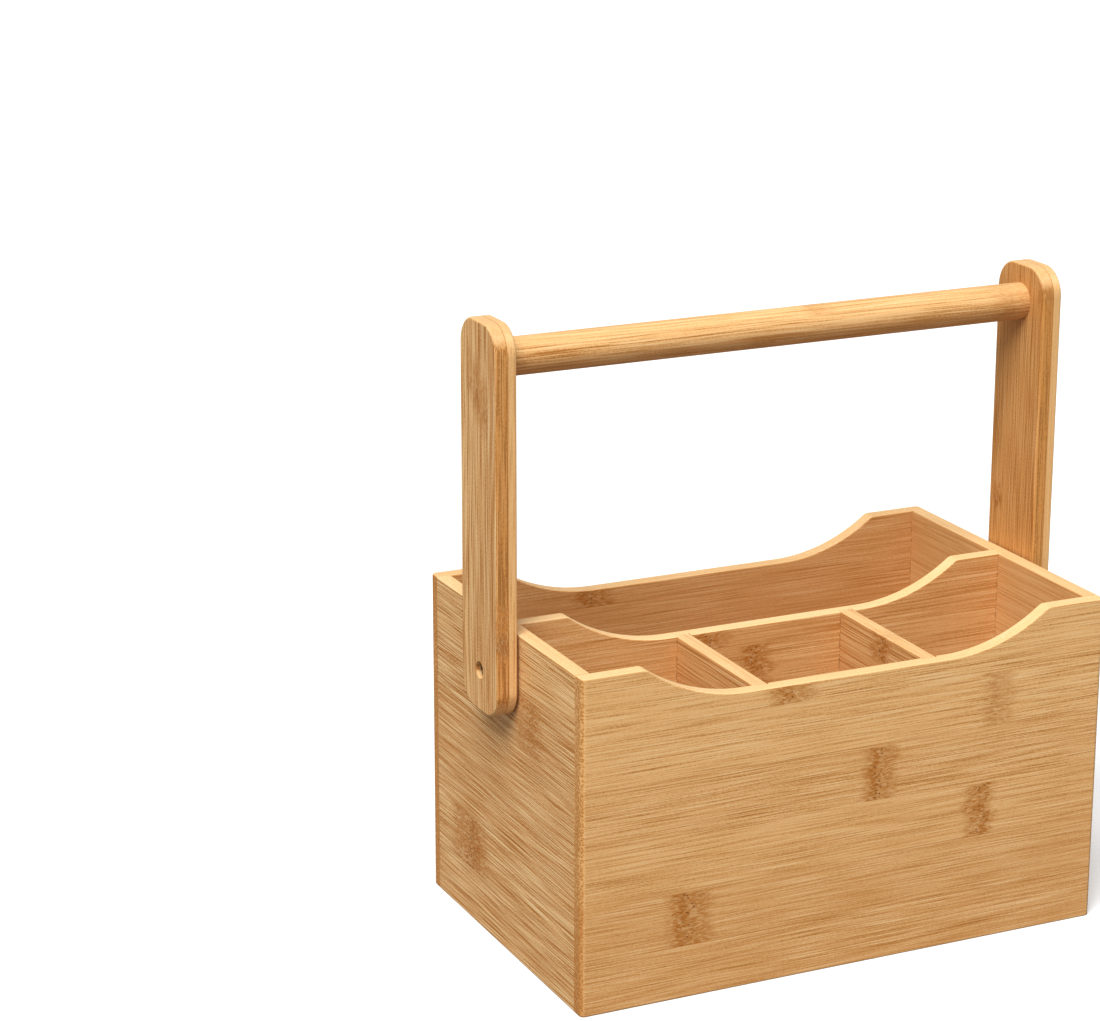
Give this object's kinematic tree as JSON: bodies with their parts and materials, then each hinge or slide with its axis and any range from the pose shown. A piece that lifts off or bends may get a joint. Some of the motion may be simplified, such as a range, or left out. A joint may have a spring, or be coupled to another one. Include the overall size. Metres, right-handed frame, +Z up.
{
  "type": "utensil caddy",
  "caption": "Open-topped divided box with dished long boards and a folding bail handle, for carrying upright cutlery and utensils.",
  "frame": {"origin": "on the table, under the middle of the box", "axes": "+X along the caddy and the handle's rod, to the right seen from the front; +Y from the three-compartment front to the back; +Z up, along the upright handle"},
  "size_m": [0.2824, 0.162, 0.2913],
  "materials": {
    "bamboo_side": "satin lacquer",
    "bamboo_end": "satin lacquer",
    "bamboo_floor": "satin lacquer",
    "bamboo_divider": "satin lacquer",
    "bamboo_arm": "satin lacquer",
    "bamboo_rod": "satin lacquer",
    "screw_steel": "zinc-plated",
    "washer_nylon": "matt"
  },
  "bodies": {
    "box": {"front_panel": "bamboo_side", "back_panel": "bamboo_side", "left_end_panel": "bamboo_end", "right_end_panel": "bamboo_end", "bottom_board": "bamboo_floor", "long_divider": "bamboo_divider", "left_cross_divider": "bamboo_divider", "right_cross_divider": "bamboo_divider", "left_pivot_screw": "screw_steel", "right_pivot_screw": "screw_steel", "left_pivot_washer": "washer_nylon", "right_pivot_washer": "washer_nylon"},
    "handle": {"left_handle_arm": "bamboo_arm", "right_handle_arm": "bamboo_arm", "handle_rod": "bamboo_rod"}
  },
  "joints": [
    {"name": "handle_swing", "type": "hinge", "parent": "box", "child": "handle", "pos_m": [0, 0, 0.1343], "axis": [1, 0, 0], "range_deg": [-138, 138]}
  ]
}
